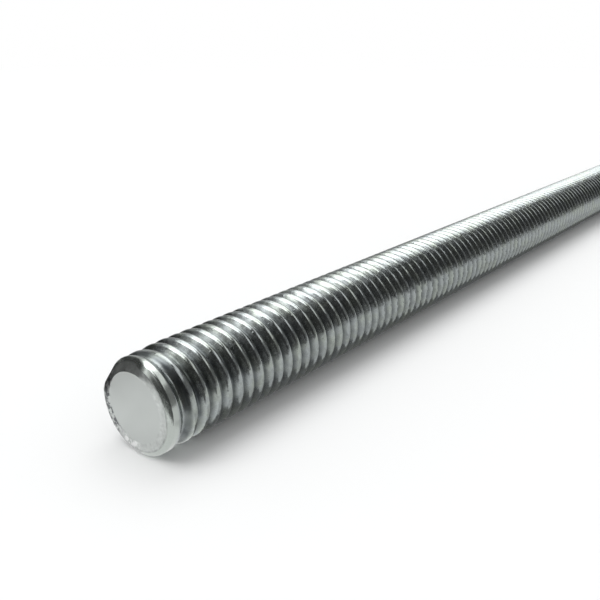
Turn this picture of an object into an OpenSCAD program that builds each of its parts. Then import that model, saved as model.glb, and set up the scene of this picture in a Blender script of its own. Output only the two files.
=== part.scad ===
// Fully threaded metric rod, cut to length and lying along +X.
//
// The body is the cylinder that touches the crests of the thread, which is the size that a
// clearance hole, a clamp or a gauge meets. The thread's own grooves, a coarse right-hand
// metric thread that goes about half a pitch deep, are too fine for this solid.
// Each end has a flat middle, a sloping ring round it, and a shoulder that rises to a plain
// collar at the crest diameter.
// The origin is the centre of the near end, on the plane of its flat.

/* [Thread] */
// Nominal diameter of the thread
nominal_d = 10; // [8:1:16]
// How much smaller the rolled crests measure than the nominal diameter
crest_loss = 0.25; // [0.05:0.01:0.3]

/* [Rod] */
// Overall length, from one end's flat to the other's
rod_l = 200; // [50:5:1000]

/* [Ends] */
// Diameter of the flat middle
flat_d = 7; // [4:0.1:7.5]
// How far the ring's outer edge lies inside the crests
ring_inset = 0.575; // [0.2:0.025:0.8]
// How far the ring falls back from the flat
ring_depth = 0.05; // [0.05:0.05:0.5]
// Length over which the shoulder rises from the ring to the collar
shoulder_l = 0.45; // [0.1:0.05:1]

/* [Hidden] */

major_r = (nominal_d - crest_loss) / 2;
ring_r = major_r - ring_inset;
// The flat always leaves a ring at least this wide
ring_w = 0.25;
flat_r = min(flat_d / 2, ring_r - ring_w);
shoulder_steps = 8;
$fn = 96;

// Points [radius, distance from the end] of one end, from the axis out to the full diameter
function end_outline() = concat(
    [[0, 0], [flat_r, 0]],
    [for (i = [0 : shoulder_steps])
        let (a = 90 * i / shoulder_steps)
        [ring_r + ring_inset * sin(a), ring_depth + shoulder_l * i / shoulder_steps]]
);

// The same points seen from the far end, in reverse so that the outline runs on
function far_outline() =
    let (near = end_outline(), last = len(near) - 1)
    [for (i = [last : -1 : 0]) [near[i][0], rod_l - near[i][1]]];

module threaded_rod() {
    color([0.72, 0.74, 0.75])
        rotate([0, 90, 0])
            rotate_extrude()
                polygon(concat(end_outline(), far_outline()));
}

threaded_rod();
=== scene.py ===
"""Zinc-plated threaded rod: the rolled thread, the flat ends, their plating and a studio."""
import math

import bpy
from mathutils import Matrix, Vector


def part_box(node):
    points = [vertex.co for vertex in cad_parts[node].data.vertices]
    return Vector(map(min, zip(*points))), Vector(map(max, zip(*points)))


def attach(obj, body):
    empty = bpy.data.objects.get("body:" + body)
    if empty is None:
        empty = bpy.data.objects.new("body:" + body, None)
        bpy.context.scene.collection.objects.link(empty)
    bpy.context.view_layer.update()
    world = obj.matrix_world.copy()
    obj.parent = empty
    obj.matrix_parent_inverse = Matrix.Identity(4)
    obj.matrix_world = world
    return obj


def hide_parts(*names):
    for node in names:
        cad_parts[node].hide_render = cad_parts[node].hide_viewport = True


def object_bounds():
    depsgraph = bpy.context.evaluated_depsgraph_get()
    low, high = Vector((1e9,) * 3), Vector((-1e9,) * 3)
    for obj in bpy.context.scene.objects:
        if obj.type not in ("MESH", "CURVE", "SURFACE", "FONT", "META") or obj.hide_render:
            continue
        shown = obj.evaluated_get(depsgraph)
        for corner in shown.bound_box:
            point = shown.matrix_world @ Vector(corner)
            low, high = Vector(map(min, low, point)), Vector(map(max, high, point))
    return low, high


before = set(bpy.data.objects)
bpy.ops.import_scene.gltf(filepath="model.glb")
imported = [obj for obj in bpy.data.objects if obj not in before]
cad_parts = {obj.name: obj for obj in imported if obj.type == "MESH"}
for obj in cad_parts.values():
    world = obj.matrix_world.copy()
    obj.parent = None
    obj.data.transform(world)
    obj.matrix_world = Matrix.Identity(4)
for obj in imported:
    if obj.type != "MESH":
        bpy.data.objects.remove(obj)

bl_info = {
    "name": "Threaded Rod",
    "version": (1, 0, 0),
    "blender": (4, 5, 0),
    "location": "3D View > Sidebar > Threaded Rod",
    "description": "Builds a zinc-plated metric rod with a rolled thread and flat ends",
    "category": "Add Mesh",
}

CAD_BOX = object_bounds()
ROD_NODE = "threaded_rod"
ROD_LOW, ROD_HIGH = (Vector(corner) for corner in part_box(ROD_NODE))
ROD_LENGTH = ROD_HIGH.x - ROD_LOW.x
CREST_RADIUS = (ROD_HIGH.z - ROD_LOW.z) / 2
MM = 0.001


# Sizes and colours --------------------------------------------------------------------------


class RodSizes(bpy.types.PropertyGroup):
    """Sizes of the rod's thread and ends"""

    pitch: bpy.props.FloatProperty(
        name="Pitch", description="Distance from one crest to the next",
        default=1.5 * MM, unit="LENGTH", precision=5)
    crest_width: bpy.props.FloatProperty(
        name="Crest width", description="Width of the flat on top of each crest, before rounding",
        default=0.5 * MM, unit="LENGTH", precision=6)
    crest_round: bpy.props.FloatProperty(
        name="Crest rounding", description="Radius of the crest's two edges",
        default=0.36 * MM, unit="LENGTH", precision=6)
    root_round: bpy.props.FloatProperty(
        name="Root rounding", description="Radius at the bottom of the groove",
        default=0.217 * MM, unit="LENGTH", precision=6)
    flank_angle: bpy.props.FloatProperty(
        name="Flank angle", description="Slope of a flank, measured from the rod's axis",
        default=math.radians(60), unit="ROTATION")
    thread_start: bpy.props.FloatProperty(
        name="Thread start", description="Angle about the axis at which a crest leaves the end plane",
        default=math.radians(57), unit="ROTATION")
    flat_diameter: bpy.props.FloatProperty(
        name="Flat diameter", description="Diameter of the flat middle of each end",
        default=7.0 * MM, unit="LENGTH", precision=5)
    ring_diameter: bpy.props.FloatProperty(
        name="Ring diameter", description="Outer diameter of the sloping ring round the flat",
        default=8.6 * MM, unit="LENGTH", precision=5)
    ring_depth: bpy.props.FloatProperty(
        name="Ring depth", description="How far the ring falls back from the flat",
        default=0.05 * MM, unit="LENGTH", precision=6)
    ring_round: bpy.props.FloatProperty(
        name="Ring rounding", description="Radius between the flat and the ring",
        default=0.6 * MM, unit="LENGTH", precision=6)
    shoulder: bpy.props.FloatProperty(
        name="Shoulder", description="Length over which the shoulder rises from the ring to the crests",
        default=0.45 * MM, unit="LENGTH", precision=6)
    end_finish: bpy.props.FloatProperty(
        name="End finish", description="Distance from each end over which the end's finish reaches",
        default=1.2 * MM, unit="LENGTH", precision=6)
    run_in_start: bpy.props.FloatProperty(
        name="Run-in start", description="Distance from each end at which the groove starts",
        default=0.8 * MM, unit="LENGTH", precision=6)
    run_in: bpy.props.FloatProperty(
        name="Run-in", description="Length over which the groove gets to its full depth",
        default=1.3 * MM, unit="LENGTH", precision=6)
    first_crest_pull: bpy.props.FloatProperty(
        name="First crest pull", description="How far rolling moved the first crest to the near end",
        default=0.8 * MM, unit="LENGTH", precision=6)
    roll_over: bpy.props.FloatProperty(
        name="Roll-over", description="How far the shears pushed one side of the near ring back",
        default=0.5 * MM, unit="LENGTH", precision=6)
    pressed: bpy.props.FloatProperty(
        name="Pressed in", description="How far the shears pressed in one side of the near end",
        default=0.22 * MM, unit="LENGTH", precision=6)
    pressed_length: bpy.props.FloatProperty(
        name="Pressed length", description="Distance from the near end at which that side is full again",
        default=6.0 * MM, unit="LENGTH", precision=5)
    pressed_side: bpy.props.FloatProperty(
        name="Pressed side", description="Angle about the axis where the near end is pressed in most",
        default=math.radians(-33), unit="ROTATION")
    torn_side: bpy.props.FloatProperty(
        name="Torn side", description="Angle about the axis where the shears tore the ends' rings",
        default=math.radians(-152), unit="ROTATION")
    segments: bpy.props.IntProperty(
        name="Segments", description="Steps round one turn of the thread",
        default=48, min=24)


class RodColours(bpy.types.PropertyGroup):
    """Colours of the rod's plating and of the studio"""

    zinc: bpy.props.FloatVectorProperty(
        name="Bright zinc", description="Colour of the plating on the thread",
        default=(0.43, 0.465, 0.465), subtype="COLOR", size=3, min=0, max=1)
    warm_zinc: bpy.props.FloatVectorProperty(
        name="Warm zinc", description="Colour of the plating where it turns yellowish green",
        default=(0.45, 0.49, 0.45), subtype="COLOR", size=3, min=0, max=1)
    # Near white: a painted highlight on the side of each end's ring that the shears tore
    torn_painted_glint: bpy.props.FloatVectorProperty(
        name="Torn metal", description="Colour of the plating over the torn side of the ring",
        default=(0.96, 0.965, 0.96), subtype="COLOR", size=3, min=0, max=1)
    # Dark colour for the dirty specks, and also painted shade in the grooves, the open seams and the
    # crease at each end's shoulder
    dirt_and_shade: bpy.props.FloatVectorProperty(
        name="Dirt", description="Colour of the grime in the grooves and in open seams",
        default=(0.034, 0.041, 0.048), subtype="COLOR", size=3, min=0, max=1)
    end_zinc: bpy.props.FloatVectorProperty(
        name="End zinc", description="Colour of the plating on the flat ends",
        default=(0.56, 0.585, 0.57), subtype="COLOR", size=3, min=0, max=1)
    collar: bpy.props.FloatVectorProperty(
        name="Collar", description="Colour of the plating on the shoulder and the first crest",
        default=(0.53, 0.57, 0.54), subtype="COLOR", size=3, min=0, max=1)
    floor: bpy.props.FloatVectorProperty(
        name="Floor", description="Colour of the table under the rod",
        default=(0.88, 0.885, 0.885), subtype="COLOR", size=3, min=0, max=1)


# Node helpers -------------------------------------------------------------------------------


class Wiring:
    """Adds nodes to a tree and joins them, so that each step reads as one call."""

    def __init__(self, tree):
        self.tree = tree

    def put(self, socket, value):
        """Joins a socket to another node's output, or gives it a plain value."""
        if isinstance(value, bpy.types.NodeSocket):
            self.tree.links.new(value, socket)
        elif value is not None:
            socket.default_value = value

    def node(self, kind, values=(), **settings):
        """Adds a node; values are pairs of an input's name or index and what goes into it."""
        made = self.tree.nodes.new(kind)
        for name, setting in settings.items():
            setattr(made, name, setting)
        for key, value in dict(values).items():
            self.put(made.inputs[key], value)
        return made

    def math(self, operation, *values):
        """A Math node on up to three values."""
        return self.node("ShaderNodeMath", enumerate(values), operation=operation).outputs[0]

    def whole(self, operation, *values):
        """An Integer Math node on up to three whole numbers."""
        return self.node("FunctionNodeIntegerMath", enumerate(values), operation=operation).outputs[0]

    def vector(self, x=0.0, y=0.0, z=0.0):
        """A vector from three values."""
        return self.node("ShaderNodeCombineXYZ", enumerate((x, y, z))).outputs[0]

    def range(self, value, from_min, from_max, to_min=0.0, to_max=1.0, smooth=False):
        """A Map Range node that is clamped at both ends."""
        kind = "SMOOTHSTEP" if smooth else "LINEAR"
        ends = enumerate((value, from_min, from_max, to_min, to_max))
        return self.node("ShaderNodeMapRange", ends, interpolation_type=kind).outputs[0]

    def parts(self, value):
        """The three parts of a vector."""
        return self.node("ShaderNodeSeparateXYZ", {0: value}).outputs

    def noise(self, place, scale, detail=2.0, roughness=0.5):
        """A Noise texture's value."""
        return self.node("ShaderNodeTexNoise", {
            "Vector": place, "Scale": scale, "Detail": detail, "Roughness": roughness}).outputs[0]

    def mix(self, share, first, second):
        """A mix of two colours."""
        return self.node("ShaderNodeMix", {0: share, 6: first, 7: second}, data_type="RGBA").outputs[2]


def add_inputs(tree, sockets):
    """Gives a node group its named inputs; sockets are (name, type, default) rows."""
    for name, kind, default in sockets:
        made = tree.interface.new_socket(name, in_out="INPUT", socket_type=kind)
        if default is not None:
            made.default_value = default


def set_input(modifier, name, value):
    """Sets a Geometry Nodes modifier's input by its socket's identifier."""
    for item in modifier.node_group.interface.items_tree:
        if item.item_type == "SOCKET" and item.in_out == "INPUT" and item.name == name:
            modifier[item.identifier] = value
            return
    raise RuntimeError(f"the node tree has no input named {name}")


# Geometry of the rod ------------------------------------------------------------------------

ROD_INPUTS = (
    ("Length", "NodeSocketFloat", None),
    ("Pitch", "NodeSocketFloat", None),
    ("Crest Radius", "NodeSocketFloat", None),
    ("Crest Width", "NodeSocketFloat", None),
    ("Crest Round", "NodeSocketFloat", None),
    ("Root Round", "NodeSocketFloat", None),
    ("Flank Angle", "NodeSocketFloat", None),
    ("Thread Start", "NodeSocketFloat", None),
    ("Flat Radius", "NodeSocketFloat", None),
    ("Ring Radius", "NodeSocketFloat", None),
    ("Ring Depth", "NodeSocketFloat", None),
    ("Ring Round", "NodeSocketFloat", None),
    ("Shoulder", "NodeSocketFloat", None),
    ("End Finish", "NodeSocketFloat", None),
    ("Run-in Start", "NodeSocketFloat", None),
    ("Run-in", "NodeSocketFloat", None),
    ("First Crest Pull", "NodeSocketFloat", None),
    ("Roll-over", "NodeSocketFloat", None),
    ("Pressed", "NodeSocketFloat", None),
    ("Pressed Length", "NodeSocketFloat", None),
    ("Pressed Side", "NodeSocketFloat", None),
    ("Segments", "NodeSocketInt", None),
    ("Thread Material", "NodeSocketMaterial", None),
    ("End Material", "NodeSocketMaterial", None),
)
# Points that round each edge of a crest, and the bottom of the groove
CREST_ARC_STEPS = 3
ROOT_ARC_STEPS = 3
# Rows of the mesh in one pitch: the start of the crest's middle, its two edges and the root
ROWS_PER_PITCH = 1 + 2 * (CREST_ARC_STEPS + 1) + (ROOT_ARC_STEPS + 1)
# Near each end, every row is cut into finer ones over this many turns
FINE_STEPS = 4
FINE_TURNS = 2
MERGE_DISTANCE = 1e-7


def outline_from_points(w, points, rounds, steps):
    """A polyline in the (x, radius) plane with its corners rounded; each argument is one list."""
    line = w.node("GeometryNodeMeshLine", {"Count": len(points)})
    index = w.node("GeometryNodeInputIndex").outputs[0]

    def pick(values, kind):
        switch = w.node("GeometryNodeIndexSwitch", data_type=kind)
        for _ in range(len(values) - 2):
            switch.index_switch_items.new()
        w.put(switch.inputs[0], index)
        for number, value in enumerate(values):
            w.put(switch.inputs[number + 1], value)
        return switch.outputs[0]

    placed = w.node("GeometryNodeSetPosition", {
        "Geometry": line.outputs[0], "Position": pick([w.vector(x, r) for x, r in points], "VECTOR")})
    curve = w.node("GeometryNodeMeshToCurve", {"Mesh": placed.outputs[0]})
    return w.node("GeometryNodeFilletCurve", {
        "Curve": curve.outputs[0], "Count": pick(steps, "INT"),
        "Radius": pick(rounds, "FLOAT"), "Limit Radius": True}, mode="POLY").outputs[0]


def sample_outline(w, outline, index):
    """The (x, radius) of one point of an outline."""
    position = w.node("GeometryNodeInputPosition").outputs[0]
    sample = w.node("GeometryNodeSampleIndex", data_type="FLOAT_VECTOR", domain="POINT")
    w.put(sample.inputs["Geometry"], outline)
    w.put(sample.inputs["Value"], position)
    w.put(sample.inputs["Index"], index)
    parts = w.node("ShaderNodeSeparateXYZ", {0: sample.outputs[0]})
    return parts.outputs[0], parts.outputs[1]


def wrapped_grid(w, rows, segments):
    """A grid of rows by one turn; gives the mesh, each point's row and its share of the turn."""
    columns = w.whole("ADD", segments, 1)
    grid = w.node("GeometryNodeMeshGrid", {"Vertices X": rows, "Vertices Y": columns})
    index = w.node("GeometryNodeInputIndex").outputs[0]
    row = w.whole("DIVIDE_FLOOR", index, columns)
    column = w.whole("MODULO", index, columns)
    return grid.outputs[0], row, w.math("DIVIDE", column, segments)


def on_axis(w, x, radius, share, start):
    """The place of a point at a distance along the rod, a radius and a share of a turn.
    The turn is right-handed: from +Z towards -Y, seen along +X."""
    angle = w.math("MULTIPLY_ADD", share, 2 * math.pi, start)
    across = w.math("MULTIPLY", w.math("SINE", angle), w.math("MULTIPLY", radius, -1.0))
    return w.vector(x, across, w.math("MULTIPLY", radius, w.math("COSINE", angle)))


def thread_skin(w, given):
    """The thread and the shoulder at each end, as one wrapped sheet."""
    pitch, crest = given["Pitch"], given["Crest Radius"]
    half_crest = w.math("DIVIDE", given["Crest Width"], 2.0)
    half_pitch = w.math("DIVIDE", pitch, 2.0)
    depth = w.math("MULTIPLY", w.math("SUBTRACT", half_pitch, half_crest),
                   w.math("TANGENT", given["Flank Angle"]))
    points = (
        (0.0, crest),
        (half_crest, crest),
        (half_pitch, w.math("SUBTRACT", crest, depth)),
        (w.math("SUBTRACT", pitch, half_crest), crest),
        (pitch, crest),
    )
    edge, root = given["Crest Round"], given["Root Round"]
    profile = outline_from_points(
        w, points, (0.0, edge, root, edge, 0.0),
        (1, CREST_ARC_STEPS, ROOT_ARC_STEPS, CREST_ARC_STEPS, 1))

    # The turns of the thread, one of them before the near end and one past the far end
    turns = w.math("ADD", w.math("CEIL", w.math("DIVIDE", given["Length"], pitch)), 1.0)
    fine_rows = FINE_TURNS * ROWS_PER_PITCH * FINE_STEPS
    coarse_rows = w.math("MULTIPLY", w.math("SUBTRACT", turns, 2.0 * FINE_TURNS),
                         float(ROWS_PER_PITCH))
    rows = w.math("ADD", coarse_rows, 2.0 * fine_rows + 1)
    mesh, row, share = wrapped_grid(w, rows, given["Segments"])
    past_fine = w.math("MAXIMUM", w.math("SUBTRACT", row, float(fine_rows)), 0.0)
    fine = w.math("MULTIPLY_ADD", w.math("MINIMUM", past_fine, coarse_rows), FINE_STEPS - 1.0, row)
    step = w.math("DIVIDE", fine, float(FINE_STEPS))
    whole = w.math("FLOOR", w.math("ADD", step, 0.01))
    part = w.math("SUBTRACT", step, whole)
    turn = w.math("FLOOR", w.math("DIVIDE", w.math("ADD", whole, 0.5), float(ROWS_PER_PITCH)))
    point = w.math("SUBTRACT", whole, w.math("MULTIPLY", turn, float(ROWS_PER_PITCH)))
    # Where a turn of fine rows lies beside a turn of whole ones, its edge drops the extra points
    at_last = w.math("COMPARE", turn, FINE_TURNS - 1.0, 0.5)
    at_first = w.math("COMPARE", turn, w.math("SUBTRACT", turns, float(FINE_TURNS)), 0.5)
    beside = w.math("ADD", w.math("MULTIPLY", at_last, w.math("COMPARE", share, 1.0, 1e-5)),
                    w.math("MULTIPLY", at_first, w.math("COMPARE", share, 0.0, 1e-5)))
    part = w.math("MULTIPLY", part, w.math("SUBTRACT", 1.0, beside))
    x_a, r_a = sample_outline(w, profile, point)
    x_b, r_b = sample_outline(w, profile, w.math("ADD", point, 1.0))
    along = w.math("MULTIPLY_ADD", part, w.math("SUBTRACT", x_b, x_a), x_a)
    thread_radius = w.math("MULTIPLY_ADD", part, w.math("SUBTRACT", r_b, r_a), r_a)

    # One turn moves on by one pitch, and what falls past an end gathers on its ring
    turned = w.math("SUBTRACT", w.math("ADD", turn, share), 1.0)
    x = w.math("MULTIPLY_ADD", turned, pitch, along)
    # Rolling pulls the first crest out towards the near end, and the groove behind it wider
    pulled = w.range(x, w.math("MULTIPLY", pitch, 0.9), w.math("MULTIPLY", pitch, 2.5), 1.0, 0.0,
                     smooth=True)
    x = w.math("SUBTRACT", x, w.math("MULTIPLY", pulled, given["First Crest Pull"]))
    foot = given["Ring Depth"]
    x = w.math("MINIMUM", w.math("MAXIMUM", x, foot), w.math("SUBTRACT", given["Length"], foot))
    from_end = w.math("MINIMUM", x, w.math("SUBTRACT", given["Length"], x))
    # A round shoulder rises from the ring, and the first groove deepens behind it
    risen = w.range(from_end, foot, w.math("ADD", foot, given["Shoulder"]), 0.0, math.pi / 2)
    ring = given["Ring Radius"]
    blank = w.math("MULTIPLY_ADD", w.math("SINE", risen), w.math("SUBTRACT", crest, ring), ring)
    cut_from = given["Run-in Start"]
    cut = w.range(from_end, cut_from, w.math("ADD", cut_from, given["Run-in"]), smooth=True)
    radius = w.math("MULTIPLY_ADD", cut, w.math("SUBTRACT", thread_radius, crest), blank)
    placed = w.node("GeometryNodeSetPosition", {
        "Geometry": mesh, "Position": on_axis(w, x, radius, share, given["Thread Start"])})
    return w.node("GeometryNodeFlipFaces", {0: placed.outputs[0]}).outputs[0]


def end_outline(w, given):
    """Half the outline of an end: from the shoulder's foot over the ring and the flat middle."""
    flat = given["Flat Radius"]
    points = (
        (given["Ring Depth"], given["Ring Radius"]),
        (0.0, flat),
        (0.0, w.math("MULTIPLY", flat, 0.5)),
        (0.0, 0.0),
    )
    return outline_from_points(w, points, (0.0, given["Ring Round"], 0.0, 0.0), (1, 6, 1, 1))


def end_skin(w, given, outline, far):
    """The flat and the ring of one end, turned from their outline."""
    size = w.node("GeometryNodeAttributeDomainSize", {0: outline}, component="CURVE")
    mesh, row, share = wrapped_grid(w, size.outputs["Point Count"], given["Segments"])
    x, radius = sample_outline(w, outline, row)
    if far:
        x = w.math("SUBTRACT", given["Length"], x)
    placed = w.node("GeometryNodeSetPosition", {
        "Geometry": mesh, "Position": on_axis(w, x, radius, share, given["Thread Start"])}).outputs[0]
    return w.node("GeometryNodeFlipFaces", {0: placed}).outputs[0] if far else placed


def pressed_end(w, geometry, given):
    """The near end with one side pressed in and its ring rolled over, as the shears left it."""
    x, y, z = w.parts(w.node("GeometryNodeInputPosition").outputs[0])
    radius = w.math("SQRT", w.math("ADD", w.math("MULTIPLY", y, y), w.math("MULTIPLY", z, z)))
    angle = w.math("ARCTAN2", w.math("MULTIPLY", y, -1.0), z)
    towards = w.math("COSINE", w.math("SUBTRACT", angle, given["Pressed Side"]))
    # The ring and its shoulder move back, and the crest behind them less and less
    shoulder_top = w.math("ADD", given["Ring Depth"], given["Shoulder"])
    back = w.math("MULTIPLY", w.range(radius, given["Flat Radius"], given["Ring Radius"]),
                  w.range(x, shoulder_top, w.math("MULTIPLY", given["End Finish"], 1.2), 1.0, 0.0))
    back = w.math("MULTIPLY", back, w.range(towards, 0.6, 0.92, smooth=True))
    # Every point outside the flat moves to the axis by a share of its radius
    inwards = w.math("MULTIPLY", w.range(radius, given["Flat Radius"], given["Ring Radius"]),
                     w.range(towards, 0.66, 0.92, smooth=True))
    inwards = w.math("MULTIPLY", inwards,
                     w.range(x, 0.0, given["Pressed Length"], 1.0, 0.0, smooth=True))
    inwards = w.math("MULTIPLY", inwards,
                     w.math("DIVIDE", w.math("MULTIPLY", given["Pressed"], -1.0), given["Crest Radius"]))
    offset = w.vector(w.math("MULTIPLY", back, given["Roll-over"]), w.math("MULTIPLY", y, inwards),
                      w.math("MULTIPLY", z, inwards))
    return w.node("GeometryNodeSetPosition", {"Geometry": geometry, "Offset": offset}).outputs[0]


def rod_tree():
    """The Geometry Nodes tree that makes the whole rod."""
    tree = bpy.data.node_groups.new("Rolled thread rod", "GeometryNodeTree")
    add_inputs(tree, ROD_INPUTS)
    tree.interface.new_socket("Geometry", in_out="OUTPUT", socket_type="NodeSocketGeometry")
    w = Wiring(tree)
    given = w.node("NodeGroupInput").outputs
    outline = end_outline(w, given)
    skins = [thread_skin(w, given)] + [end_skin(w, given, outline, far) for far in (False, True)]
    joined = w.node("GeometryNodeJoinGeometry")
    for skin in skins:
        tree.links.new(skin, joined.inputs[0])
    merged = w.node("GeometryNodeMergeByDistance", {0: joined.outputs[0], "Distance": MERGE_DISTANCE})
    pressed = pressed_end(w, merged.outputs[0], given)
    smooth = w.node("GeometryNodeSetShadeSmooth", {0: pressed})
    real = w.node("GeometryNodeRealizeInstances", {0: smooth.outputs[0]})

    # Faces near each end take the end's finish
    x = w.parts(w.node("GeometryNodeInputPosition").outputs[0])[0]
    from_end = w.math("MINIMUM", x, w.math("SUBTRACT", given["Length"], x))
    inside = w.node("FunctionNodeCompare", {0: from_end, 1: given["End Finish"]},
                    operation="LESS_THAN").outputs[0]
    plated = w.node("GeometryNodeSetMaterial", {0: real.outputs[0], "Material": given["Thread Material"]})
    ends = w.node("GeometryNodeSetMaterial", {
        0: plated.outputs[0], "Selection": inside, "Material": given["End Material"]})
    w.node("NodeGroupOutput", {0: ends.outputs[0]})
    return tree


# Materials ----------------------------------------------------------------------------------

# Relief in micrometres, each for the whole range of its pattern, from 0 to 1
WAVE_HEIGHT = 18.0
GRAIN_HEIGHT = 2.6
NODULE_HEIGHT = 11.0
STREAK_HEIGHT = 5.0
RIPPLE_HEIGHT = 45.0
SEAM_DEPTH = 8.0
TEAR_HEIGHT = 120.0
# Distances from the near end, in millimetres, between which the seam starts and thins out
SEAM_STARTS = (26.0, 40.0)
SEAM_THINS = (75.0, 110.0)
# The dirt on each end's ring lies this far round from its torn side
DIRTY_TURN = math.radians(52)


def shader_group(name, inputs, outputs):
    """A new node group for shaders; gives its wiring and the outputs of its input node."""
    tree = bpy.data.node_groups.new(name, "ShaderNodeTree")
    add_inputs(tree, inputs)
    for title, kind in outputs:
        tree.interface.new_socket(title, in_out="OUTPUT", socket_type=kind)
    w = Wiring(tree)
    return w, w.node("NodeGroupInput").outputs


def thread_place_group():
    """Where a point lies on the thread: its distance from the crest's middle as a share of the
    pitch, from -0.5 to 0.5, and its place on the thread unrolled flat, in millimetres."""
    w, given = shader_group(
        "Thread place",
        (("Pitch", "NodeSocketFloat", 0.0015), ("Start", "NodeSocketFloat", 0.0),
         ("Radius", "NodeSocketFloat", 0.005)),
        (("Across", "NodeSocketFloat"), ("Place", "NodeSocketVector")))
    x, y, z = w.parts(w.node("ShaderNodeTexCoord").outputs["Object"])
    angle = w.math("ARCTAN2", w.math("MULTIPLY", y, -1.0), z)
    turned = w.math("DIVIDE", w.math("SUBTRACT", angle, given["Start"]), 2 * math.pi)
    phase = w.math("SUBTRACT", w.math("DIVIDE", x, given["Pitch"]), turned)
    turn = w.math("ROUND", phase)
    across = w.math("SUBTRACT", phase, turn)
    round_mm = w.math("MULTIPLY", given["Radius"], 2 * math.pi / MM)
    along_mm = w.math("MULTIPLY", w.math("ADD", turned, turn), round_mm)
    across_mm = w.math("MULTIPLY", across, w.math("DIVIDE", given["Pitch"], MM))
    w.node("NodeGroupOutput", {0: across, 1: w.vector(along_mm, across_mm)})
    return w.tree


def plating_group():
    """Bright zinc: its tint, its roughness and its relief in micrometres, at a place given in
    millimetres."""
    w, given = shader_group(
        "Zinc plating",
        (("Place", "NodeSocketVector", None), ("Cool", "NodeSocketColor", None),
         ("Warm", "NodeSocketColor", None), ("Roughness", "NodeSocketFloat", 0.2)),
        (("Colour", "NodeSocketColor"), ("Roughness", "NodeSocketFloat"),
         ("Relief", "NodeSocketFloat")))
    place = given["Place"]
    clouds = w.noise(place, 0.45, 3.0, 0.6)
    blotches = w.noise(place, 2.2, 4.0, 0.65)
    warmth = w.range(clouds, 0.4, 0.66, smooth=True)
    tinted = w.mix(warmth, given["Cool"], given["Warm"])
    shade = w.range(blotches, 0.3, 0.7, 0.8, 1.14)
    colour = w.node("ShaderNodeVectorMath", {0: tinted, 1: w.vector(shade, shade, shade)},
                    operation="MULTIPLY").outputs[0]
    dull = w.range(blotches, 0.35, 0.75, 0.8, 1.3)
    roughness = w.math("MULTIPLY", given["Roughness"], dull)

    # Soft waves, a fine grain and scattered round nodules
    waves = w.math("MULTIPLY", w.noise(place, 1.3, 1.0), WAVE_HEIGHT)
    grain = w.math("MULTIPLY", w.noise(place, 6.0, 3.0, 0.6), GRAIN_HEIGHT)
    cell = w.node("ShaderNodeTexVoronoi", {"Vector": place, "Scale": 1.5}, feature="F1")
    chance, size, _ = w.parts(cell.outputs["Color"])
    chosen = w.math("GREATER_THAN", chance, 0.45)
    dome = w.range(cell.outputs["Distance"], 0.03, w.math("MULTIPLY_ADD", size, 0.22, 0.08),
                   NODULE_HEIGHT, 0.0, smooth=True)
    relief = w.math("ADD", w.math("ADD", waves, grain), w.math("MULTIPLY", dome, chosen))
    w.node("NodeGroupOutput", {0: colour, 1: roughness, 2: relief})
    return w.tree


def zinc_material(name):
    """The start of a zinc material; gives it, its wiring, its shader and the place in millimetres."""
    material = bpy.data.materials.new(name)
    material.use_nodes = True
    w = Wiring(material.node_tree)
    shader = material.node_tree.nodes["Principled BSDF"]
    shader.inputs["Metallic"].default_value = 1.0
    place = w.node("ShaderNodeVectorMath", {
        0: w.node("ShaderNodeTexCoord").outputs["Object"], "Scale": 1.0 / MM}, operation="SCALE")
    return material, w, shader, place.outputs[0]


def in_relief(w, shader, relief):
    """Gives a shader a relief in micrometres."""
    bump = w.node("ShaderNodeBump", {"Height": relief, "Distance": 1e-6, "Strength": 1.0})
    w.put(shader.inputs["Normal"], bump.outputs[0])


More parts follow.
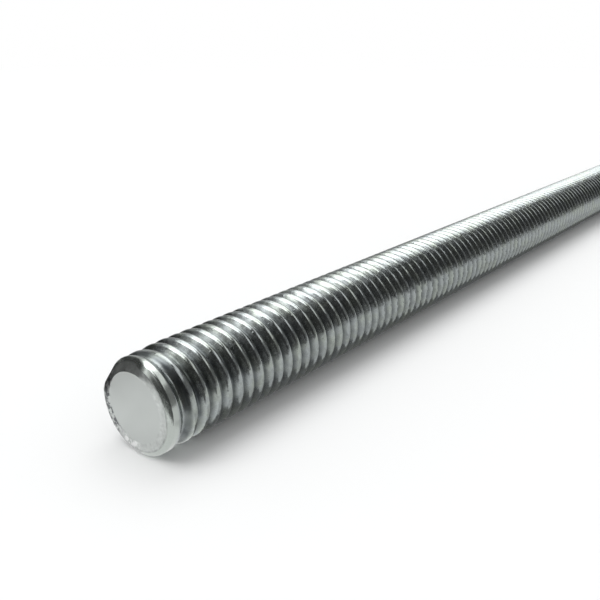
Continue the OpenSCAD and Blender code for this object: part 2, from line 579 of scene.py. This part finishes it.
def thread_material(sizes, colours, thread_place, plating):
    """The thread's plating: rolled streaks along it, roots darkened with painted shade and some soiling,
    and a broken seam on the crests whose dark colour is painted shade.
    """
    material, w, shader, place = zinc_material("bright zinc thread")
    on_thread = w.node("ShaderNodeGroup", {
        "Pitch": sizes.pitch, "Start": sizes.thread_start, "Radius": CREST_RADIUS},
        node_tree=thread_place).outputs
    zinc = w.node("ShaderNodeGroup", {
        "Place": place, "Cool": (*colours.zinc, 1.0), "Warm": (*colours.warm_zinc, 1.0),
        "Roughness": 0.2}, node_tree=plating).outputs
    across = w.math("ABSOLUTE", on_thread["Across"])
    along, aside, _ = w.parts(on_thread["Place"])

    # Streaks that the rolling dies drew along the thread, and ripples where they pressed harder
    streak_place = w.vector(w.math("MULTIPLY", along, 0.25), w.math("MULTIPLY", aside, 7.0))
    streaks = w.noise(streak_place, 1.0, 2.0, 0.6)
    ripple_place = w.vector(w.math("MULTIPLY", along, 0.4), w.math("MULTIPLY", aside, 1.7))
    ripples = w.noise(ripple_place, 1.0, 1.0)
    # The grooves are darkened: painted shade, together with some soiling
    patchy = w.noise(place, 1.1, 3.0)
    dirt_and_shade = w.math("MULTIPLY", w.range(across, 0.16, 0.44, smooth=True),
                  w.range(patchy, 0.3, 0.7, 0.6, 1.0))
    # The seam where the rolled metal met on the crest, open only here and there; its dark colour is
    # painted shade in the open crease
    bent = w.math("MULTIPLY_ADD", w.noise(place, 1.6, 2.0), 0.16, -0.08)
    from_seam = w.math("ABSOLUTE", w.math("ADD", on_thread["Across"], bent))
    x, _, _ = w.parts(place)
    stretch = w.math("MULTIPLY", w.range(x, *SEAM_STARTS), w.range(x, *SEAM_THINS, 1.0, 0.25))
    open_here = w.math("MULTIPLY", w.range(w.noise(place, 2.2, 2.0), 0.47, 0.53), stretch)
    seam = w.math("MULTIPLY", w.range(from_seam, 0.05, 0.11, 1.0, 0.0), open_here)

    # The grooves take the dark colour: painted shade, with some soiling
    darkened = w.mix(w.math("MULTIPLY", dirt_and_shade, 0.85), zinc["Colour"], (*colours.dirt_and_shade, 1.0))
    # The open seam takes the dark colour too: painted shade
    w.put(shader.inputs["Base Color"], w.mix(w.math("MULTIPLY", seam, 0.8), darkened,
                                             (*colours.dirt_and_shade, 1.0)))
    w.put(shader.inputs["Roughness"], w.math("MULTIPLY_ADD", dirt_and_shade, 0.15, zinc["Roughness"]))
    relief = w.math("MULTIPLY_ADD", streaks, STREAK_HEIGHT, zinc["Relief"])
    relief = w.math("MULTIPLY_ADD", ripples, RIPPLE_HEIGHT, relief)
    in_relief(w, shader, w.math("MULTIPLY_ADD", seam, -SEAM_DEPTH, relief))
    return material


def end_material(sizes, colours, plating):
    """The end's plating: a dull flat middle; a ring that the shears tore on one side, where its
    near-white colour is a painted highlight of the lamps, with dirty specks further round; a thin line of
    painted shade where the shoulder leaves the ring; and a brighter shoulder that runs out into the
    thread's own zinc."""
    material, w, shader, place = zinc_material("dull zinc end")
    zinc = w.node("ShaderNodeGroup", {
        "Place": place, "Cool": (*colours.end_zinc, 1.0), "Warm": (*colours.end_zinc, 1.0),
        "Roughness": 0.2}, node_tree=plating).outputs
    x, y, z = w.parts(place)
    from_end = w.math("MINIMUM", x, w.math("SUBTRACT", ROD_LENGTH / MM, x))
    radius = w.math("SQRT", w.math("ADD", w.math("MULTIPLY", y, y), w.math("MULTIPLY", z, z)))
    flat = sizes.flat_diameter / 2 / MM
    on_ring = w.range(radius, flat * 0.95, flat * 1.02, smooth=True)
    ring = sizes.ring_diameter / 2 / MM
    on_shoulder = w.range(radius, ring * 0.99, ring * 1.02, smooth=True)
    angle = w.math("ARCTAN2", w.math("MULTIPLY", y, -1.0), z)

    def beside(side, edge, full):
        """The ring about one angle, fading between the cosines of two distances from it."""
        turned = w.math("COSINE", w.math("SUBTRACT", angle, side))
        return w.math("MULTIPLY", on_ring, w.range(turned, edge, full, smooth=True))

    torn_painted_glint = beside(sizes.torn_side, 0.76, 0.95)
    dirty = beside(sizes.torn_side + DIRTY_TURN, 0.5, 0.85)
    clumps = w.noise(place, 1.6, 3.0, 0.6)
    specks = w.math("MULTIPLY", dirty, w.range(clumps, 0.45, 0.53))
    plated = w.mix(on_ring, (*colours.end_zinc, 1.0), zinc["Colour"])
    plated = w.mix(on_shoulder, plated, (*colours.collar, 1.0))
    finish_end = sizes.end_finish / MM
    on_thread = w.range(from_end, finish_end * 0.75, finish_end, smooth=True)
    plated = w.mix(on_thread, plated, (*colours.zinc, 1.0))
    # The side that the shears tore takes a near-white colour: a painted highlight of the lamps on the
    # rough metal
    bright = w.mix(w.math("MULTIPLY", torn_painted_glint, w.range(clumps, 0.42, 0.56)), plated, (*colours.torn_painted_glint, 1.0))
    # A thin line of painted shade in the crease where the shoulder leaves the ring
    from_foot = w.math("ABSOLUTE", w.math("SUBTRACT", radius, ring))
    foot = w.math("MULTIPLY", w.range(from_foot, 0.03, 0.12, 0.4, 0.0), w.range(clumps, 0.3, 0.6))
    painted_shade_and_grime = w.math("MAXIMUM", foot, w.math("MULTIPLY", specks, 0.9))
    # The painted shade of that crease and the dirty specks take the dark colour
    w.put(shader.inputs["Base Color"], w.mix(painted_shade_and_grime, bright, (*colours.dirt_and_shade, 1.0)))
    even = w.math("MULTIPLY_ADD", w.noise(place, 0.5, 2.0), 0.14, 0.34)
    polished = w.math("MAXIMUM", w.math("MULTIPLY", on_ring, 0.5), w.math("MULTIPLY", on_shoulder, 0.9))
    roughness = w.node("ShaderNodeMix", {0: polished, 2: even, 3: zinc["Roughness"]},
                       data_type="FLOAT")
    w.put(shader.inputs["Roughness"], roughness.outputs[0])
    calm = w.math("MULTIPLY_ADD", on_ring, 0.5, 0.06)
    tears = w.math("MULTIPLY", torn_painted_glint, w.math("MULTIPLY", w.noise(place, 4.0), TEAR_HEIGHT))
    in_relief(w, shader, w.math("MULTIPLY_ADD", zinc["Relief"], calm, tears))
    return material


# Operators ----------------------------------------------------------------------------------


def tidy_slots(mesh):
    """Drops a mesh's empty material slots and keeps each face on its own material."""
    kept = [number for number, material in enumerate(mesh.materials) if material]
    materials = [mesh.materials[number] for number in kept]
    order = [kept.index(face.material_index) for face in mesh.polygons]
    mesh.materials.clear()
    for material in materials:
        mesh.materials.append(material)
    mesh.polygons.foreach_set("material_index", order)


class ROD_OT_thread(bpy.types.Operator):
    """Builds the rod: its rolled thread, its shoulders and its flat ends"""
    bl_idname = "threaded_rod.rod"
    bl_label = "Threaded Rod"

    def execute(self, context):
        sizes, colours = context.scene.rod_sizes, context.scene.rod_colours
        piece = bpy.data.objects.new("rolled_thread_rod", bpy.data.meshes.new("rolled_thread_rod"))
        context.collection.objects.link(piece)
        modifier = piece.modifiers.new("Rod", "NODES")
        modifier.node_group = rod_tree()
        plating = plating_group()
        inputs = {
            "Length": ROD_LENGTH, "Pitch": sizes.pitch, "Crest Radius": CREST_RADIUS,
            "Crest Width": sizes.crest_width, "Crest Round": sizes.crest_round,
            "Root Round": sizes.root_round, "Flank Angle": sizes.flank_angle,
            "Thread Start": sizes.thread_start,
            "Flat Radius": sizes.flat_diameter / 2, "Ring Radius": sizes.ring_diameter / 2,
            "Ring Depth": sizes.ring_depth, "Ring Round": sizes.ring_round,
            "Shoulder": sizes.shoulder, "End Finish": sizes.end_finish,
            "Run-in Start": sizes.run_in_start, "Run-in": sizes.run_in,
            "First Crest Pull": sizes.first_crest_pull,
            "Roll-over": sizes.roll_over, "Pressed": sizes.pressed,
            "Pressed Length": sizes.pressed_length, "Pressed Side": sizes.pressed_side,
            "Segments": sizes.segments,
            "Thread Material": thread_material(sizes, colours, thread_place_group(), plating),
            "End Material": end_material(sizes, colours, plating),
        }
        for name, value in inputs.items():
            set_input(modifier, name, value)
        graph = context.evaluated_depsgraph_get()
        mesh = bpy.data.meshes.new_from_object(piece.evaluated_get(graph), depsgraph=graph)
        piece.modifiers.remove(modifier)
        tidy_slots(mesh)
        piece.data = mesh
        if not len(mesh.polygons):
            raise RuntimeError("the rod's node tree made no faces")
        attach(piece, "root")
        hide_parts(ROD_NODE)
        return {"FINISHED"}


# The lamps: (name, azimuth, elevation, spread in degrees, brightness seen in a mirror)
LAMPS = (
    ("overhead lamp", 150, 66, 46, 1.9),
    ("back lamp", 35, 60, 44, 1.4),
    ("left lamp", 150, 48, 24, 1.8),
)
# Grey cards that only reflections see: (name, azimuths, elevations, brightness)
CARDS = (
    ("front card", (-176, -82), (0, 60), 0.05),
    ("upper front card", (-140, -10), (60, 76), 0.05),
    ("right card", (-82, -22), (0, 38), 0.2),
    ("far right card", (-22, 14), (0, 38), 0.1),
    ("back card", (14, 72), (0, 26), 0.5),
    ("dark back card", (72, 128), (0, 26), 0.05),
    ("upper back card", (52, 128), (26, 42), 0.3),
    ("left card", (128, 146), (0, 34), 0.25),
    ("far left card", (161, 184), (20, 48), 0.45),
    ("low left card", (146, 161), (5, 34), 1.2),
    ("dark left card", (163, 184), (0, 20), 0.05),
)
# The same, lying on the table: a painted copy of the table's light and shade, with the rod's painted
# contact shadow and penumbra, a painted shadow on the left and a painted pool of light at the near end:
# (name, corners in millimetres, brightness)
TABLE_CARDS = (
    ("painted end light", ((-9, 0), (5, 0), (5, -12), (-9, -12)), 0.85),
    ("painted contact shadow", ((5, -1), (600, -1), (600, -6), (5, -6)), 0.18),
    ("painted penumbra", ((5, -6), (600, -6), (600, -12), (5, -12)), 0.6),
    ("front table card", ((-2, -12), (600, -12), (600, -600), (-2, -600)), 0.76),
    ("painted left shadow", ((-2, -12), (-2, -600), (-600, -600), (-600, 600), (-60, 600), (-60, 4),
                         (-14, -8)), 0.12),
    ("dark back table card", ((-60, 25), (-60, 600), (10, 600), (10, 25)), 0.06),
    ("back table card", ((-60, 16), (-60, 25), (10, 25), (10, 600), (600, 600), (600, 16)), 0.45),
)
TABLE_CARD_LIFT = 0.02 * MM
CARD_DISTANCE = 2.5
CARD_STEPS = 12
FLOOR_SIZE = 6.0
# The floor turns from lit table to plain white surround between these distances
FLOOR_FADE = (0.25, 1.2)
SURROUND_LIGHT = 0.66


def direction(azimuth, elevation):
    """The unit vector towards an azimuth and an elevation in degrees."""
    a, e = math.radians(azimuth), math.radians(elevation)
    return Vector((math.cos(a) * math.cos(e), math.sin(a) * math.cos(e), math.sin(e)))


def soft_lamp(name, azimuth, elevation, spread, brightness):
    """A far round lamp of the given width in degrees, as bright as stated when seen in a mirror."""
    light = bpy.data.lights.new(name, "SUN")
    light.angle = math.radians(spread)
    light.energy = brightness * math.pi * math.sin(light.angle / 2) ** 2
    lamp = bpy.data.objects.new(name, light)
    bpy.context.collection.objects.link(lamp)
    lamp.rotation_euler = direction(azimuth, elevation).to_track_quat("Z", "Y").to_euler()


def card(name, points, faces, brightness):
    """A grey card that only reflections see."""
    material = bpy.data.materials.new(name)
    material.use_nodes = True
    material.node_tree.nodes.clear()
    w = Wiring(material.node_tree)
    glow = w.node("ShaderNodeEmission", {"Color": (1, 1, 1, 1), "Strength": brightness})
    w.node("ShaderNodeOutputMaterial", {0: glow.outputs[0]})
    mesh = bpy.data.meshes.new(name)
    mesh.from_pydata(points, [], faces)
    mesh.materials.append(material)
    shade = bpy.data.objects.new(name, mesh)
    bpy.context.collection.objects.link(shade)
    shade.visible_camera = False
    shade.visible_diffuse = False
    shade.visible_shadow = False


def curved_card(name, azimuths, elevations, brightness):
    """A card bent round the rod, far away, between two azimuths and two elevations."""
    points, faces = [], []
    for i in range(CARD_STEPS + 1):
        for j in range(CARD_STEPS + 1):
            azimuth = azimuths[0] + (azimuths[1] - azimuths[0]) * i / CARD_STEPS
            elevation = elevations[0] + (elevations[1] - elevations[0]) * j / CARD_STEPS
            points.append(CARD_DISTANCE * direction(azimuth, elevation))
    for i in range(CARD_STEPS):
        for j in range(CARD_STEPS):
            first = i * (CARD_STEPS + 1) + j
            faces.append((first, first + 1, first + CARD_STEPS + 2, first + CARD_STEPS + 1))
    card(name, points, faces, brightness)


def seen_directly(w):
    """1 for rays from the camera, from reflections and through glass; 0 for those that light."""
    path = w.node("ShaderNodeLightPath").outputs
    added = w.math("ADD", w.math("ADD", path["Is Camera Ray"], path["Is Glossy Ray"]),
                   path["Is Transmission Ray"])
    return w.math("MINIMUM", added, 1.0)


def studio_floor(colour):
    """A wide pale table under the rod, which runs into the white surround far away."""
    material = bpy.data.materials.new("pale table")
    material.use_nodes = True
    material.node_tree.nodes.clear()
    w = Wiring(material.node_tree)
    lit = w.node("ShaderNodeBsdfDiffuse", {"Color": (*colour, 1.0)})
    white = w.node("ShaderNodeEmission", {"Color": (1, 1, 1, 1), "Strength": 1.0})
    place = w.node("ShaderNodeTexCoord").outputs["Object"]
    far = w.node("ShaderNodeVectorMath", {0: place}, operation="LENGTH").outputs["Value"]
    faded = w.math("MULTIPLY", w.range(far, *FLOOR_FADE, smooth=True), seen_directly(w))
    mixed = w.node("ShaderNodeMixShader", {0: faded, 1: lit.outputs[0], 2: white.outputs[0]})
    w.node("ShaderNodeOutputMaterial", {0: mixed.outputs[0]})
    half = FLOOR_SIZE / 2
    z = CAD_BOX[0].z
    corners = [(-half, -half, z), (half, -half, z), (half, half, z), (-half, half, z)]
    mesh = bpy.data.meshes.new("table")
    mesh.from_pydata(corners, [], [(0, 1, 2, 3)])
    mesh.materials.append(material)
    table = bpy.data.objects.new("table", mesh)
    bpy.context.collection.objects.link(table)


def studio_world():
    """A white surround for the camera, for reflections and through glass; softer as a lamp."""
    world = bpy.data.worlds.new("studio")
    bpy.context.scene.world = world
    world.use_nodes = True
    world.node_tree.nodes.clear()
    w = Wiring(world.node_tree)
    strength = w.math("MULTIPLY_ADD", seen_directly(w), 1.0 - SURROUND_LIGHT, SURROUND_LIGHT)
    back = w.node("ShaderNodeBackground", {"Color": (1, 1, 1, 1), "Strength": strength})
    w.node("ShaderNodeOutputWorld", {0: back.outputs[0]})


CAMERA_PLACE = Vector((-35.86, -47.67, 31.07)) * MM
CAMERA_HEADING = math.radians(38.48)
CAMERA_TILT = math.radians(-19.71)
LENS = 43.06


def studio_camera():
    """The camera: near one end, looking down along the rod."""
    camera = bpy.data.cameras.new("camera")
    camera.lens = LENS
    camera.sensor_width = 36
    camera.clip_start = 0.001
    viewer = bpy.data.objects.new("camera", camera)
    bpy.context.collection.objects.link(viewer)
    forward = Vector((math.cos(CAMERA_HEADING) * math.cos(CAMERA_TILT),
                      math.sin(CAMERA_HEADING) * math.cos(CAMERA_TILT), math.sin(CAMERA_TILT)))
    viewer.location = CAMERA_PLACE
    viewer.rotation_euler = forward.to_track_quat("-Z", "Y").to_euler()
    bpy.context.scene.camera = viewer


class ROD_OT_studio(bpy.types.Operator):
    """Builds the stage: the table, the surround, the lamps, the grey cards and the camera"""
    bl_idname = "threaded_rod.studio"
    bl_label = "Studio"

    def execute(self, context):
        context.scene.view_settings.view_transform = "Standard"
        studio_floor(context.scene.rod_colours.floor)
        studio_world()
        for lamp in LAMPS:
            soft_lamp(*lamp)
        for shade in CARDS:
            curved_card(*shade)
        level = CAD_BOX[0].z + TABLE_CARD_LIFT
        # The table sheets: painted shadows and painted light on the table, seen only in reflections
        for name, outline, brightness in TABLE_CARDS:
            corners = [(x * MM, y * MM, level) for x, y in outline]
            card(name, corners, [range(len(corners))], brightness)
        studio_camera()
        return {"FINISHED"}


class ROD_PT_panel(bpy.types.Panel):
    """Shows the rod's and the studio's buttons and the rod's sizes and colours in the sidebar"""
    bl_idname = "ROD_PT_panel"
    bl_label = "Threaded Rod"
    bl_space_type = "VIEW_3D"
    bl_region_type = "UI"
    bl_category = "Threaded Rod"

    def draw(self, context):
        layout = self.layout
        layout.operator(ROD_OT_thread.bl_idname)
        layout.operator(ROD_OT_studio.bl_idname)
        for group in (context.scene.rod_sizes, context.scene.rod_colours):
            for name in group.__annotations__:
                layout.prop(group, name)


CLASSES = (RodSizes, RodColours, ROD_OT_thread, ROD_OT_studio, ROD_PT_panel)


def register():
    for entry in CLASSES:
        bpy.utils.register_class(entry)
    bpy.types.Scene.rod_sizes = bpy.props.PointerProperty(type=RodSizes)
    bpy.types.Scene.rod_colours = bpy.props.PointerProperty(type=RodColours)


def unregister():
    del bpy.types.Scene.rod_colours
    del bpy.types.Scene.rod_sizes
    for entry in reversed(CLASSES):
        bpy.utils.unregister_class(entry)


def main():
    register()
    bpy.ops.threaded_rod.rod()
    bpy.ops.threaded_rod.studio()


if __name__ == "__main__":
    main()
